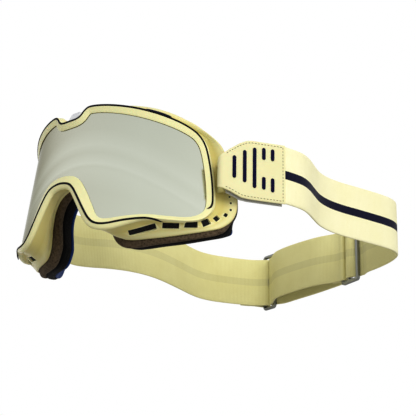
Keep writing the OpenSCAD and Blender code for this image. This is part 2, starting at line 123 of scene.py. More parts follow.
class Finish(Nodes):
    # a material with one Principled shader; fixed values go straight onto its sockets
    def __init__(self, name, color, roughness, **fixed):
        self.material = bpy.data.materials.new(name)
        self.material.use_nodes = True
        super().__init__(self.material.node_tree)
        self.shader = self.tree.nodes["Principled BSDF"]
        self.shader.inputs["Base Color"].default_value = (*color, 1)
        self.shader.inputs["Roughness"].default_value = roughness
        for socket, value in fixed.items():
            self.shader.inputs[socket.replace("_", " ")].default_value = value
        self.place = self.node("ShaderNodeTexCoord", out="Object")

    def noise(self, scale, detail=3.0, roughness=0.5, at=None):
        return self.node("ShaderNodeTexNoise", {}, {"Vector": at or self.place, "Scale": scale,
                                                   "Detail": detail, "Roughness": roughness})

    def cells(self, scale):
        return self.node("ShaderNodeTexVoronoi", {}, {"Vector": self.place, "Scale": scale})

    def ramp(self, value, *stops):
        return self.node("ShaderNodeValToRGB", {"ramp": stops}, {"Fac": value})

    def attribute(self, name):
        return self.node("ShaderNodeAttribute", {"attribute_name": name}, out="Fac")

    def blend(self, share, first, second):
        # sockets 0, 6 and 7 of a colour Mix are its factor and its two colours, and output 2 the result
        colors = [(*c, 1) if isinstance(c, tuple) else c for c in (first, second)]
        return self.node("ShaderNodeMix", {"data_type": "RGBA"}, {0: share, 6: colors[0], 7: colors[1]}, 2)

    def feed(self, socket, value):
        plug(self.tree, value, self.shader.inputs[socket])

    def bump(self, height, distance, strength=1.0):
        normal = self.node("ShaderNodeBump", {}, {"Height": height, "Distance": distance * mm,
                                                  "Strength": strength})
        self.feed("Normal", normal)
        return self

    def speckle(self, scale, detail, first, second):
        self.feed("Base Color", self.blend(self.noise(scale, detail), first, second))


def tinted(color, share):
    return tuple(c * share for c in color)


# the darkest plastic colour here is painted shade, laid deep in the neck
cream = {"light": (0.78, 0.755, 0.465), "deep": (0.73, 0.695, 0.36), "recess": (0.55, 0.46, 0.11),
         "grain": 1500, "roughness": 0.36, "tabLight": (0.74, 0.71, 0.45), "tabDeep": (0.68, 0.64, 0.36)}
# the warm, cold and arc colours paint a reflection on the mirror
mirror = {"warm": (0.43, 0.41, 0.335), "cold": (0.66, 0.69, 0.59), "arc": (0.76, 0.79, 0.70),
          "paintedArcShare": 0.85, "roughness": 0.12, "haze": 0.06,
          # the painted reflection's pale arcs follow a parabola; the stops give their strength over its
          # height
          "bowMiddle": 14, "bowRise": 0.0075,
          "stops": [(0.16, 0.0), (0.30, 0.34), (0.335, 0.30), (0.36, 0.62), (0.44, 0.22), (0.50, 0.5),
                    (0.62, 0.1)]}
# the inside colours are painted light shining through the webbing, and painted shade, on its inner face
webbingLook = {"light": (0.84, 0.815, 0.60), "deep": (0.77, 0.735, 0.44), "inside": (0.82, 0.79, 0.44),
               "insideDeep": (0.68, 0.63, 0.29), "navy": (0.003, 0.003, 0.022),
               "ribs": 1.25, "yarn": 0.62, "stripe": 3.05, "bleed": 0.10}
# the darker brown is painted shade for the foam's pores
foamLook = {"brown": (0.12, 0.088, 0.056), "brownPoreShade": (0.035, 0.024, 0.014), "black": (0.004, 0.004, 0.005),
            "blue": (0.03, 0.085, 0.32), "blueDeep": (0.008, 0.025, 0.12)}


def plasticFinish(name, light, deep, roughness, grain):
    # moulded plastic: faint blotches in the colour, fine grain in the bump, soft gloss, and painted shade
    # deep in the neck where the shell is marked for it
    f = Finish(name, light, roughness, Coat_Roughness=0.25, Subsurface_Weight=0.06, Subsurface_Scale=0.004)
    blotch = f.noise(38, 2)
    # painted shade deep in the neck, made a little uneven by the blotches
    recess = f.attribute("recess") * (blotch * 0.3 + 0.6)
    f.feed("Base Color", f.blend(recess, f.blend(blotch, deep, light), cream["recess"]))
    f.feed("Roughness", f.noise(grain * 0.2, 2) * 0.16 + (roughness - 0.08))
    f.feed("Coat Weight", blotch * 0.16)
    return f.bump(f.noise(grain, 2) + f.noise(grain * 0.12, 2) * 0.7, 0.035, 0.6)


def lensFinish():
    # silver mirror coating with a trace of haze; painted reflection on it: warmer and darker to the wearer's
    # right, and two faint pale arcs
    f = Finish("mirrorCoating", (0.5, 0.52, 0.45), mirror["roughness"], Metallic=1.0,
               Specular_Tint=(0.55, 0.55, 0.5, 1))
    x, z = (part * 1000 for part in f.parts(f.place)[::2])
    off = x - mirror["bowMiddle"]
    bow = z + off * off * mirror["bowRise"]
    # painted reflection: two pale arcs, and a side darker and warmer to the wearer's right
    paintedArcs = f.ramp(bow * 0.01 + 0.3, *mirror["stops"])
    side = f.ramp(x * 0.009 + 0.46 + f.noise(9, 2) * 0.12, (0.0, 0.0), (1.0, 1.0))
    f.feed("Base Color", f.blend(paintedArcs * mirror["paintedArcShare"], f.blend(side, mirror["warm"], mirror["cold"]),
                                 mirror["arc"]))
    f.feed("Roughness", f.noise(22, 3) * mirror["haze"] + mirror["roughness"])
    return f


def rubberFinish(name, color):
    # dull rubber or print: a little darker and lighter in specks, barely glossy
    f = Finish(name, color, 0.5, Specular_IOR_Level=0.12)
    f.feed("Roughness", f.noise(420, 2) * 0.2 + 0.4)
    f.speckle(160, 2, tinted(color, 0.7), tinted(color, 1.3))
    return f.bump(f.noise(1800, 2), 0.03, 0.5)


def foamFinish(name, light, deep, cell):
    # open foam: dark pores between rounded cells, with finer pores on top; the pores' darkness is painted
    # shade
    f = Finish(name, light, 0.95, Sheen_Weight=0.05, Sheen_Roughness=0.6, Specular_IOR_Level=0.12)
    pores = f.cells(cell)
    fine = f.cells(cell * 2.3)
    height = pores * 0.7 + fine * 0.4 + f.noise(cell * 1.5, 3) * 0.5
    # painted shade: the colour is darkest where the bump is low, in the pores
    f.feed("Base Color", f.blend(f.ramp(height, (0.35, 0.0), (0.95, 1.0)), deep, light))
    f.feed("Roughness", f.noise(cell, 1) * 0.06 + 0.9)
    return f.bump(height, 0.5, 0.9)


def fleeceFinish():
    # short blue pile: fine fluff on coarser tufts
    f = Finish("blueFleece", foamLook["blue"], 0.95, Sheen_Weight=0.12, Sheen_Roughness=0.5,
               Specular_IOR_Level=0.1)
    fluff = f.noise(900, 5, 0.7)
    tuft = f.noise(260, 3, 0.6)
    f.feed("Base Color", f.blend(fluff * 0.6 + tuft * 0.4, foamLook["blueDeep"], foamLook["blue"]))
    f.feed("Roughness", 0.98 - fluff * 0.1)
    return f.bump(fluff + tuft, 0.25, 0.9)


def metalFinish(name, color, roughness, metallic=1.0):
    # brushed metal: the noise is squeezed twelvefold upwards, so that its streaks lie level
    f = Finish(name, color, roughness, Metallic=metallic)
    x, y, z = f.parts(f.place)
    brushed = f.noise(300, 3, 0.6, f.node("ShaderNodeCombineXYZ", {}, {0: x, 1: y, 2: z * 12}))
    f.feed("Roughness", brushed * 0.22 + (roughness - 0.1))
    f.speckle(90, 3, tinted(color, 0.8), color)
    return f.bump(brushed, 0.02, 0.4)


def webbingFinish():
    # elastic webbing on its UV map, u and v in millimetres over 100: cross ribs, lengthwise yarns,
    # a woven navy band in the middle of the outer face, and its ghost on the inner face; the inner face is
    # painted yellower and darker, as painted light shining through the webbing and painted shade
    f = Finish("creamWebbing", webbingLook["light"], 0.75, Sheen_Weight=0.1, Sheen_Roughness=0.5,
               Specular_IOR_Level=0.25)
    u, v = f.parts(f.node("ShaderNodeUVMap", {"uv_map": "UVMap"}))[:2]
    u, v = u * 100, v * 100
    outer = f.attribute("outer")
    ribs = (u * (2 * math.pi / webbingLook["ribs"])).sine() * 0.5 + 0.5
    yarn = (v * (2 * math.pi / webbingLook["yarn"]) + ribs * 0.8).sine() * 0.5 + 0.5
    weave = ribs * 0.55 + yarn * 0.45
    uneven = f.noise(55, 4, 0.6)
    fuzz = f.noise(1400, 3, 0.6)
    tone = weave * 0.35 + uneven * 0.4 + fuzz * 0.25
    shade = f.ramp(tone, (0.25, 0.0), (0.75, 1.0))
    # painted light and shade: the inner face takes yellower, darker copies of the cloth colours
    inside = f.blend(shade, webbingLook["insideDeep"], webbingLook["inside"])
    cloth = f.blend(outer, inside, f.blend(shade, webbingLook["deep"], webbingLook["light"]))
    edge = (v + ribs * 0.16).size().under(webbingLook["stripe"])
    band = edge * (outer * (1 - webbingLook["bleed"]) + webbingLook["bleed"])
    f.feed("Base Color", f.blend(band, cloth, webbingLook["navy"]))
    f.feed("Roughness", 0.86 - weave * 0.14)
    return f.bump(weave + fuzz * 0.35, 0.16, 0.8)


def threadFinish(name, color):
    # sewing thread with a fine twist
    f = Finish(name, color, 0.8, Sheen_Weight=0.3)
    twist = f.noise(2600, 2)
    f.feed("Base Color", f.blend(twist, tinted(color, 0.6), color))
    return f.bump(twist, 0.05, 0.8)


def liningFinish():
    # grey knit: level rows 0.9 mm apart under a fuzz
    f = Finish("greyLining", (0.50, 0.50, 0.47), 0.85, Sheen_Weight=0.3)
    z = f.parts(f.place)[2]
    knit = (z * (2000 * math.pi / 0.9)).sine() * 0.5 + f.noise(1500, 3) * 0.8
    f.feed("Base Color", f.blend(knit, (0.40, 0.40, 0.375), (0.56, 0.56, 0.53)))
    f.feed("Roughness", 0.92 - knit * 0.1)
    return f.bump(knit, 0.12, 0.7)


finishes = {
    "shell": plasticFinish("creamPlastic", cream["light"], cream["deep"], cream["roughness"], cream["grain"]),
    "tab": plasticFinish("creamTab", cream["tabLight"], cream["tabDeep"], 0.5, 1100),
    "lens": lensFinish(),
    "cord": rubberFinish("blackCord", (0.003, 0.003, 0.006)),
    "navy": rubberFinish("navyPrint", (0.003, 0.003, 0.03)),
    "plate": metalFinish("barePlate", (0.86, 0.87, 0.9), 0.4, 0.35),
    "filter": foamFinish("blackFilter", (0.02, 0.02, 0.02), (0.003, 0.003, 0.003), 700),
    "brown": foamFinish("brownFoam", foamLook["brown"], foamLook["brownPoreShade"], 520),
    "black": foamFinish("blackFoam", foamLook["black"], (0.002, 0.002, 0.002), 760),
    "fleece": fleeceFinish(),
    "steel": metalFinish("postSteel", (0.50, 0.50, 0.51), 0.35),
    "buckle": metalFinish("buckleGrey", (0.36, 0.37, 0.36), 0.42),
    "webbing": webbingFinish(),
    "lining": liningFinish(),
    "thread": threadFinish("creamThread", (0.62, 0.58, 0.33)),
    "darkThread": threadFinish("oliveThread", (0.17, 0.15, 0.07)),
}
print("finishes made")


def linked(name, data):
    thing = bpy.data.objects.new(name, data)
    bpy.context.scene.collection.objects.link(thing)
    return thing


def smoothed(mesh, sharp=None):
    # smooth shading, but for edges sharper than an angle in degrees
    mesh.polygons.foreach_set("use_smooth", np.ones(len(mesh.polygons), bool))
    if sharp:
        mesh.set_sharp_from_angle(angle=math.radians(sharp))


def mark(mesh, name, values):
    # a number at each point, for the finish to read
    values = np.asarray(values, np.float32)
    mesh.attributes.new(name, "FLOAT", "POINT").data.foreach_set("value", values)


def soften(piece, radius, segments):
    # rounds the sharp edges with a radius in millimetres
    edges = piece.modifiers.new("edges", "BEVEL")
    edges.width, edges.segments, edges.limit_method = radius * mm, segments, "ANGLE"
    return edges


def makePiece(name, points, faces, finish, sharp, uv=None, outer=None):
    # a mesh of points in millimetres; edges sharper than so many degrees stay sharp, and 0 leaves it flat
    mesh = bpy.data.meshes.new(name)
    mesh.from_pydata((np.asarray(points, float) * mm).tolist(), [], faces)
    if uv is not None:
        loops = np.zeros(len(mesh.loops), np.int32)
        mesh.loops.foreach_get("vertex_index", loops)
        layer = mesh.uv_layers.new(name="UVMap")
        layer.data.foreach_set("uv", np.asarray(uv, np.float32)[loops].ravel())
    if outer is not None:
        mark(mesh, "outer", outer)
    mesh.materials.append(finishes[finish].material)
    if sharp:
        smoothed(mesh, sharp)
    mesh.update()
    return linked(name, mesh)


def gridFaces(rows, columns, closed):
    # quads over loops of points kept row after row; closed joins the last row to the first
    r, c = np.meshgrid(np.arange(rows if closed else rows - 1), np.arange(columns), indexing="ij")
    r2, c2 = (r + 1) % rows, (c + 1) % columns
    quads = [r * columns + c, r * columns + c2, r2 * columns + c2, r2 * columns + c]
    return np.stack(quads, -1).reshape(-1, 4).tolist()


def tubeMesh(rows):
    # a closed section carried along rows, with one n-gon at each end
    long, columns = rows.shape[:2]
    ends = [list(range(columns - 1, -1, -1)), list(range((long - 1) * columns, long * columns))]
    return rows.reshape(-1, 3), gridFaces(long, columns, False) + ends


def joined(meshes):
    # the points and the faces of several meshes as those of one
    points, faces = [], []
    for part, partFaces in meshes:
        start = sum(len(p) for p in points)
        faces += [[start + i for i in face] for face in partFaces]
        points.append(part)
    return np.vstack(points), faces


def sheetLoop(front, back):
    # rows of a sheet's two faces as rows of one section
    return np.concatenate([front, back[:, ::-1]], 1)


def outwards(piece):
    # turns the faces of a closed piece outwards
    b = bmesh.new()
    b.from_mesh(piece.data)
    bmesh.ops.recalc_face_normals(b, faces=b.faces)
    b.to_mesh(piece.data)
    b.free()
    return piece


def closedMesh(name, mesh, finish, sharp, **extra):
    return outwards(makePiece(name, *mesh, finish, sharp, **extra))


def coat(piece, finish):
    piece.data.materials.clear()
    piece.data.materials.append(finish.material)


def finished(piece, body, slot, *nodes):
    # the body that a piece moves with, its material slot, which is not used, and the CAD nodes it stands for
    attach(piece, body)
    if nodes:
        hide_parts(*nodes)
    return piece


def spline(points, n, closed=False):
    # Catmull-Rom curve: half of 2b + (c-a)t + (2a-5b+4c-d)t^2 + (3b-a-3c+d)t^3 between b and c
    p = np.asarray(points, float)
    if closed:
        a, b, c, d = np.roll(p, 1, 0), p, np.roll(p, -1, 0), np.roll(p, -2, 0)
    else:
        q = np.vstack([p[:1], p, p[-1:]])
        a, b, c, d = q[:-3], q[1:-2], q[2:-1], q[3:]
    t = (np.arange(n) / n)[None, :, None]
    a, b, c, d = (x[:, None, :] for x in (a, b, c, d))
    curve = 0.5 * (2 * b + (c - a) * t + (2 * a - 5 * b + 4 * c - d) * t**2 + (3 * b - a - 3 * c + d) * t**3)
    curve = curve.reshape(-1, p.shape[1])
    return curve if closed else np.vstack([curve, p[-1:]])


def unit(v):
    return v / np.linalg.norm(v, axis=-1, keepdims=True)


def ease(x, start=0, span=1):
    # from 0 to 1 as x goes on from start by span: t^2 (3 - 2t) over the share t
    t = np.clip((x - start) / span, 0, 1)
    return t * t * (3 - 2 * t)


# the outline that the frame, lens, stripes and foam share; a place is a count of its rows from the brow
outline = {
    "lensRadius": 81, "cone": 0.12, "lensThick": 2, "groove": 2.6, "gap": 0.25, "rimHeight": 2.4,
    "shoulder": 4, "depth": 18, "wall": 2.2, "plateThick": 2, "plateWidth": 8, "stripeWidth": 1.7,
    "faceRadius": 98, "faceLean": 0.35, "faceTilt": 0.13, "tiltZ": -8, "temple": 0.38, "templeX": 60,
    "steps": 8,  # points between two rows
    # the brow starts at a height and grows over a span; the lower corner comes and goes over places
    "brow": (20, 14), "cornerIn": (12.8, 1.6), "cornerOut": (17.6, 2.2),
    "browTuck": 2.3, "browDrop": 3.4, "lowTuck": 3.1,
    "sideDrop": [[4, 5, 6, 7, 8, 9, 10], [0, 0.6, 2.4, 4.0, 3.2, 1.4, 0]],
    # shares of the way from the rim to the flange, in the x, y and z of the neck and of the flare
    "neckShare": (0.2, 0.45, 0.2), "neckCorner": (0.1, 0.15, 0.1), "flareShare": (0.66, 0.78, 0.66),
    "neckIn": 1.2, "hollow": (13.5, 3),  # the wall draws in where it is deeper than that, over that span
    "edge": (-0.6, -2.2),  # height of the rim's edge over the lens cone, and what the brow adds to it
    "lip": (0.5, 0.95, 1.65),  # heights of the rim between the lens and the stripe
    "crest": (0.2, 0.3, 1.3),  # how far it lies below rimHeight before, behind and outside the stripe
    # distance round the lens, height, rim width inside the stripe, and the flange's way out and up from it
    "rows": [[0, 41, 5, 0, 16], [6.5, 41.3, 5, 1, 15.8], [10.5, 43, 5, 1.7, 14.2], [14, 46.8, 4.8, 2.5, 10.8],
             [19, 48.6, 4.8, 2.6, 9.4], [34, 47.3, 5, 3.3, 10.2], [55, 43.5, 5.4, 3.4, 11],
             [76, 38, 5.4, 4.3, 10], [90, 33, 5, 5.5, 7], [98, 28, 4.4, 6.9, 3.4], [102.5, 21, 4, 8.2, 0.8],
             [104.8, 10, 3.8, 9.7, -1], [106, -5, 3.8, 10.2, -1], [105.5, -20, 3.6, 9.1, 0],
             [103, -28, 3.6, 7.4, -1.5], [97, -33.5, 3.4, 5.3, -2.5], [88, -36.5, 3, 3.4, -3],
             [76, -37.4, 3, 2, -5], [62, -37.3, 3.2, 1.7, -7.5], [50, -38.7, 3.4, 1.4, -7.3],
             [38, -40.8, 4, 2.8, -5.6], [31, -39.8, 4.5, 3.2, -5], [26.5, -36, 5, 4.2, -3.2],
             [22.5, -29.5, 5.8, 7.6, -2], [17, -19.5, 6.4, 13, -2.5], [12, -11.5, 6.4, 15, -0.8],
             [7.5, -7.8, 6, 10.6, 3.4], [0, -6.3, 5.6, 0, 5.3]]}
steps = outline["steps"]
half = len(outline["rows"])
whole = 2 * (half - 1)
leftHalf = np.array(outline["rows"], float)
mirrored = leftHalf[-2:0:-1] * [-1, 1, 1, -1, 1]
rim = spline(np.vstack([leftHalf, mirrored]), steps, True)
count = len(rim)
place = np.minimum(np.arange(count), count - np.arange(count)) / steps
brow = ease(rim[:, 1], *outline["brow"])
corner = ease(place, *outline["cornerIn"]) * (1 - ease(place, *outline["cornerOut"]))


def placesBetween(first, last):
    return np.arange(int(first * steps), int(last * steps) + 1)


def around(ring, k):
    return np.roll(ring, -k, 0)


def wayOf(loop):
    # from the point half a row before to the point half a row after
    return around(loop, steps // 2) - around(loop, -(steps // 2))


def leftOf(way):
    return np.stack([-way[:, 1], way[:, 0]], -1)


def wrap(arc, z, h):
    # onto the lens cone: radius R - cone*z + h at the angle arc / R
    angle = arc / outline["lensRadius"]
    r = outline["lensRadius"] - outline["cone"] * z + h
    return np.stack([r * np.sin(angle), -r * np.cos(angle), z + 0 * r], -1)


rimWay = unit(leftOf(wayOf(rim[:, :2])))


def rimOut(d):
    # the stripe's line moved out by d, on the flat pattern of the cone
    return rim[:, :2] + rimWay * np.reshape(d, (-1, 1))


def lensOut(d):
    # the lens's edge moved out by d, which lies the rim's width inside the stripe's line
    return rimOut(d - rim[:, 2])


def onCone(flat, h):
    return wrap(flat[:, 0], flat[:, 1], h)


flatFlange = onCone(rim[:, :2], 0)[:, [0, 2]] + rim[:, 3:5]
flatFlange[:, 1] -= outline["browDrop"] * brow + np.interp(place, *outline["sideDrop"])
flangeWay = unit(leftOf(wayOf(flatFlange)))
softWay = sum(around(flangeWay, k * steps // 2) for k in range(-4, 5)) / 9
atTemple = np.abs(flatFlange[:, 0]) > outline["templeX"]
wider = 1 + np.where(atTemple, outline["temple"] * flangeWay[:, 0] ** 2, 0)


def faceAt(x, z):
    # upright cylinder that the face plate follows, tilted back above tiltZ
    start = outline["faceRadius"] - outline["lensRadius"] + outline["depth"]
    tilt = outline["faceTilt"] * np.maximum(z - outline["tiltZ"], 0)
    return start - np.sqrt(outline["faceRadius"] ** 2 - x * x) + tilt


def flangeIn(d, y, soft=None):
    # flange outline moved in by d and back by y; soft is the share of the evened-out direction
    d = np.reshape(d + 0 * rim[:, 0], (-1, 1))
    share = (d > 3) * 1.0 if soft is None else soft
    p = flatFlange - d * (flangeWay * (1 - share) + softWay * wider[:, None] * share)
    x0 = np.abs(flatFlange[:, 0])
    lean = np.minimum(x0 / np.sqrt(outline["faceRadius"] ** 2 - x0 * x0), outline["faceLean"])
    return np.stack([p[:, 0], faceAt(x0, p[:, 1]) - lean * (x0 - np.abs(p[:, 0])) + y, p[:, 1]], -1)


shoulder = outline["shoulder"] - outline["browTuck"] * brow - outline["lowTuck"] * corner
edgeHeight = outline["edge"][0] + outline["edge"][1] * brow
rimEdge = onCone(rimOut(shoulder), edgeHeight)
flangeFront = flangeIn(0, -outline["plateThick"])
hollow = ease(flangeFront[:, 1] - rimEdge[:, 1], *outline["hollow"])[:, None]


def drawIn(ring, d):
    # a ring moved in by d where the wall is deep enough for a neck
    a = rim[:, 0] / outline["lensRadius"]
    way = np.stack([rimWay[:, 0] * np.cos(a), rimWay[:, 0] * np.sin(a), rimWay[:, 1]], -1)
    return ring - way * d * hollow


toFlange = flangeFront - rimEdge
neckShare = outline["neckShare"] - corner[:, None] * outline["neckCorner"]
neck = drawIn(rimEdge + toFlange * neckShare, outline["neckIn"])
flare = rimEdge + toFlange * outline["flareShare"]
wallWay = unit(np.cross(wayOf(flare), flare - neck))
seat = outline["lensThick"] + outline["gap"]
grooveBack = onCone(lensOut(0.4), -seat - 2.2)
plateEdge = flangeIn(outline["plateWidth"], -outline["plateThick"])


def liningRing(ring, t):
    # inner side of the wall: the ring where there is a neck, else a straight way from flange to groove
    return ring * hollow + (plateEdge + (grooveBack - plateEdge) * t) * (1 - hollow)


lip, stripeWidth = outline["lip"], outline["stripeWidth"]
crest = [outline["rimHeight"] - c for c in outline["crest"]]
skinHigh = liningRing(flare - wallWay * outline["wall"], 0.3)
skinLow = liningRing(neck - wallWay * outline["wall"], 0.7)
# each ring of the section, with how far its corner is rounded towards the next rings
shellRings = [
    (onCone(lensOut(0), lip[0]), 0.2), (onCone(lensOut(0.9), lip[1]), 0.4),
    (onCone(rimOut(0) * 0.55 + lensOut(0) * 0.45, lip[2]), 0.6),
    (onCone(rimOut(corner * 0.45 - stripeWidth / 2), crest[0]), 0.3),
    (onCone(rimOut(stripeWidth / 2 - corner * 0.6), crest[1]), 0.5),
    (onCone(rimOut(shoulder - 0.8 + corner * 0.4), crest[2] - 0.5 * brow), 0.8), (rimEdge, 0.6),
    (drawIn(onCone(rimOut(shoulder), -1.4 - 2.6 * brow), 0.9), 0.8), (neck, 2.0), (flare, 1.5),
    (flangeFront, 0.8), (flangeIn(0, 0), 0.6), (flangeIn(outline["plateWidth"], 0), 0.4), (plateEdge, 0.4),
    (liningRing(flangeIn(outline["wall"] + 0.4, -outline["plateThick"]), 0.1), 0.3), (skinHigh, 0.8),
    (skinLow, 0.8), (grooveBack, 0.4), (onCone(lensOut(0), -seat - 1.5), 0.3),
    (onCone(lensOut(0), -seat), 0.15), (onCone(lensOut(outline["groove"]), -seat), 0.1),
    (onCone(lensOut(outline["groove"]), outline["gap"]), 0.1), (onCone(lensOut(0), outline["gap"]), 0.15)]


def roundCorners(rings, cuts, n):
    # each corner P becomes n points of the curve (1-t)^2 A + 2t(1-t) P + t^2 B, with A and B a cut away
    p = np.stack(rings)
    out = []
    for way in (1, -1):
        to = np.roll(p, way, 0) - p
        long = np.linalg.norm(to, axis=-1, keepdims=True)
        out.append(p + to / long * np.minimum(np.reshape(cuts, (-1, 1, 1)), 0.45 * long))
    t = np.linspace(0, 1, n)[None, :, None, None]
    a, b = out[0][:, None], out[1][:, None]
    return ((1 - t) ** 2 * a + 2 * t * (1 - t) * p[:, None] + t * t * b).reshape(-1, p.shape[1], 3)


# each vent: its place along the rim, its share of the way out over the wall, its length and height
vents = {"at": [[18.78, 0.5, 18.4, 4.6], [17.3, 0.42, 11, 4.6], [16.05, 0.05, 9.2, 4.6],
                [14.93, 0.0, 6.6, 4.3], [14.12, 0.3, 4.5, 3.4], [13.62, 0.8, 3.0, 2.4],
                [13.19, 1.2, 1.7, 1.5], [12.78, 1.1, 1.5, 1.4], [12.47, 0.95, 1.3, 1.3]],
         "through": 4, "depth": 4.6, "blind": 1.6,  # longer vents go right through, the others stay blind
         "front": 4, "back": 1.3, "corner": 0.5,
         # how deep in the neck the section's rings lie, as the share of painted shade that each takes
         "paintedShadeAt": [22, 27, 31, 34, 39, 42, 45, 60], "recess": [0, 0.35, 0.9, 1, 0.25, 0.45, 0.7, 0.8]}
lugs = {"post": (88.412, -20.5476), "low": -10.3, "high": 8.3, "thick": 2.1, "radius": 1.62, "edge": 0.35,
        "eye": (-175, 108), "root": [[-3.4, 7.6], [-6.1, 6.9], [-9.2, 5.2]]}


def onRing(ring, c):
    # the point of a ring at place c, which may lie between two of its points
    i = int(math.floor(c * steps))
    f = c * steps - i
    return ring[i % count] * (1 - f) + ring[(i + 1) % count] * f


def roundedOutline(w, h, r, n=6):
    # rectangle w by h with its corners as quarter circles of radius r
    a = np.linspace(0, math.pi / 2, n)
    corner = np.stack([np.cos(a), np.sin(a)], -1) * r
    turns = [(1, 1, 0), (-1, 1, 1), (-1, -1, 2), (1, -1, 3)]
    parts = []
    for sx, sy, k in turns:
        c, s = math.cos(k * math.pi / 2), math.sin(k * math.pi / 2)
        parts.append(corner @ np.array([[c, s], [-s, c]]) + [sx * (w / 2 - r), sy * (h / 2 - r)])
    return np.vstack(parts)


def onWall(c, share):
    # share 0 is at the neck, 1 at the flare and 2 at the flange
    a, b, e = (onRing(r, c) for r in (neck, flare, flangeFront))
    return a + (b - a) * share if share < 1 else b + (e - b) * (share - 1)


def ventBlocks(grow, near, sides=(-1, 1)):
    # a block through each vent: its rounded outline from near below the wall's face to the vent's depth
    blocks = []
    for side in sides:
        for c, share, long, high in vents["at"]:
            mid = onWall(side * c, share)
            along = unit(onWall(side * (c + 0.3), share) - onWall(side * (c - 0.3), share))
            out = onRing(wallWay, side * c)
            out = unit(out - along * (out @ along))
            flat = roundedOutline(long, high, min(vents["corner"], high * 0.42)) * grow
            far = vents["depth"] if long > vents["through"] else vents["blind"]
            face = mid + flat[:, :1] * along + flat[:, 1:] * np.cross(out, along)
            end = far if near > 0 else far + 0.05
            blocks.append(tubeMesh(np.stack([face - out * near * far / vents["depth"], face - out * end])))
    return joined(blocks)


def cutShell():
    # the section's rings, carried round and closed, with the vents cut out of the wall
    rings = roundCorners([r for r, c in shellRings], [c for r, c in shellRings], 4)
    shell = closedMesh("frameShell", (rings.reshape(-1, 3), gridFaces(*rings.shape[:2], True)), "shell", 0)
    # painted shade: the plastic's colour turns darker and yellower deep in the neck, where shade falls
    depth = np.interp(np.arange(len(rings)), vents["paintedShadeAt"], vents["recess"])
    mark(shell.data, "recess", np.repeat(depth, count))
    cutter = closedMesh("ventCutter", ventBlocks(1, -vents["front"]), "shell", 0)
    cut = shell.modifiers.new("vents", "BOOLEAN")
    cut.operation, cut.solver, cut.object = "DIFFERENCE", "EXACT", cutter
    bpy.context.view_layer.update()
    done = bpy.data.meshes.new_from_object(shell.evaluated_get(bpy.context.evaluated_depsgraph_get()))
    shell.modifiers.clear()
    shell.data = done
    bpy.data.objects.remove(cutter)
    smoothed(done, 38)
    return shell


finished(cutShell(), "frame", "frame", "frame_shell")


hands = ((1, "Left"), (-1, "Right"))  # the side that a piece lies on, as seen by the wearer


def makeLug(name, side, z):
    # flat arm from the wall round the post, its outline carried up by its thickness
    a = np.radians(np.linspace(*lugs["eye"], 24))
    eye = np.stack([np.cos(a), np.sin(a)], -1) * lugs["radius"]
    flat = (np.vstack([eye, lugs["root"]]) + lugs["post"]) * [side, 1]
    both = [np.column_stack([flat, np.full(len(flat), h)]) for h in (z, z + lugs["thick"])]
    lug = closedMesh(name, tubeMesh(np.stack(both)), "shell", 35)
    soften(lug, lugs["edge"], 2)
    return finished(lug, "frame", "frame")


for side, word in hands:
    for z, level in ((lugs["low"], "Low"), (lugs["high"], "High")):
        makeLug(f"lug{word}{level}", side, z)
print("shell cut")

lens = {"columns": 300, "rows": 28, "edge": 0.6, "lastTurn": 0.985, "end": 0.9995, "sidePlace": 12}


def makeLens():
    # columns s = end * sin(t) from the lower to the upper edge of the groove, front and back on the cone
    edge = lensOut(outline["groove"] - lens["edge"])
    side, nose = lens["sidePlace"] * steps, (half - 1) * steps
    t = np.linspace(-1, 1, lens["columns"]) * math.pi / 2 * lens["lastTurn"]
    s = np.sin(t) / math.sin(t[-1]) * edge[side, 0] * lens["end"]
    heights = []
    for part in (edge[side:nose + 1], edge[:side + 1]):
        part = part[np.argsort(part[:, 0])]
        heights.append(np.interp(np.abs(s), part[:, 0], part[:, 1]))
    lo, hi = heights
    v = np.linspace(0, 1, lens["rows"])[None, :]
    z = lo[:, None] + (hi - lo)[:, None] * v
    arc = np.repeat(s[:, None], lens["rows"], 1)
    loop = sheetLoop(wrap(arc, z, 0), wrap(arc, z, -outline["lensThick"]))
    return closedMesh("mirrorLens", tubeMesh(loop), "lens", 50)


finished(makeLens(), "frame", "lens", "lens")

stripes = {"width": 1.45, "height": 0.5, "upper": 13.75, "upperCurl": 2.6, "lower": 17.3, "lowerCurl": -2.2,
           "curlSpan": 0.9, "roundEnd": 0.3}


def crestHeight(d, width):
    # height of the rim over the lens cone at a distance d outside the stripe's line: straight between knots
    knots = [(-width, lip[0]), (-width + 0.9, lip[1]), (-0.45 * width, lip[2]), (-stripeWidth / 2, crest[0]),
             (stripeWidth / 2, crest[1]), (outline["shoulder"] - 0.8, crest[2]),
             (outline["shoulder"], outline["edge"][0])]
    out = 0 * d + knots[0][1]
    for (d0, h0), (d1, h1) in zip(knots, knots[1:]):
        out = np.where(d >= d0, h0 + (h1 - h0) * np.clip((d - d0) / (d1 - d0), 0, 1), out)
    return out


def makeStripe(name, first, last, curl, node):
    # half-round cord along the rim: across it w*cos(a), above it height*sin(a); its ends curl and taper
    i = placesBetween(first, last)
    place = i / steps
    near = np.minimum(place - first, last - place)
    shift = -curl * (1 - np.clip(near / stripes["curlSpan"], 0, 1)) ** 2
    taper = np.sqrt(1 - (1 - np.clip(near / stripes["roundEnd"], 0.02, 1)) ** 2)
    a = np.linspace(0, math.pi, 9)
    across = np.concatenate([np.cos(a), [-0.9, 0.9]])[None, :] * stripes["width"] / 2 * taper[:, None]
    above = np.concatenate([np.sin(a), [-0.25, -0.25]])[None, :] * stripes["height"] * taper[:, None]
    d = across + shift[:, None]
    k = i % count
    p = rim[k, None, :2] + rimWay[k, None] * d[..., None]
    h = crestHeight(shift[:, None], rim[k, None, 2]) + above
    points = wrap(p[..., 0], p[..., 1], h)
    return finished(closedMesh(name, tubeMesh(points), "cord", 60), "frame", "pinstripe", node)


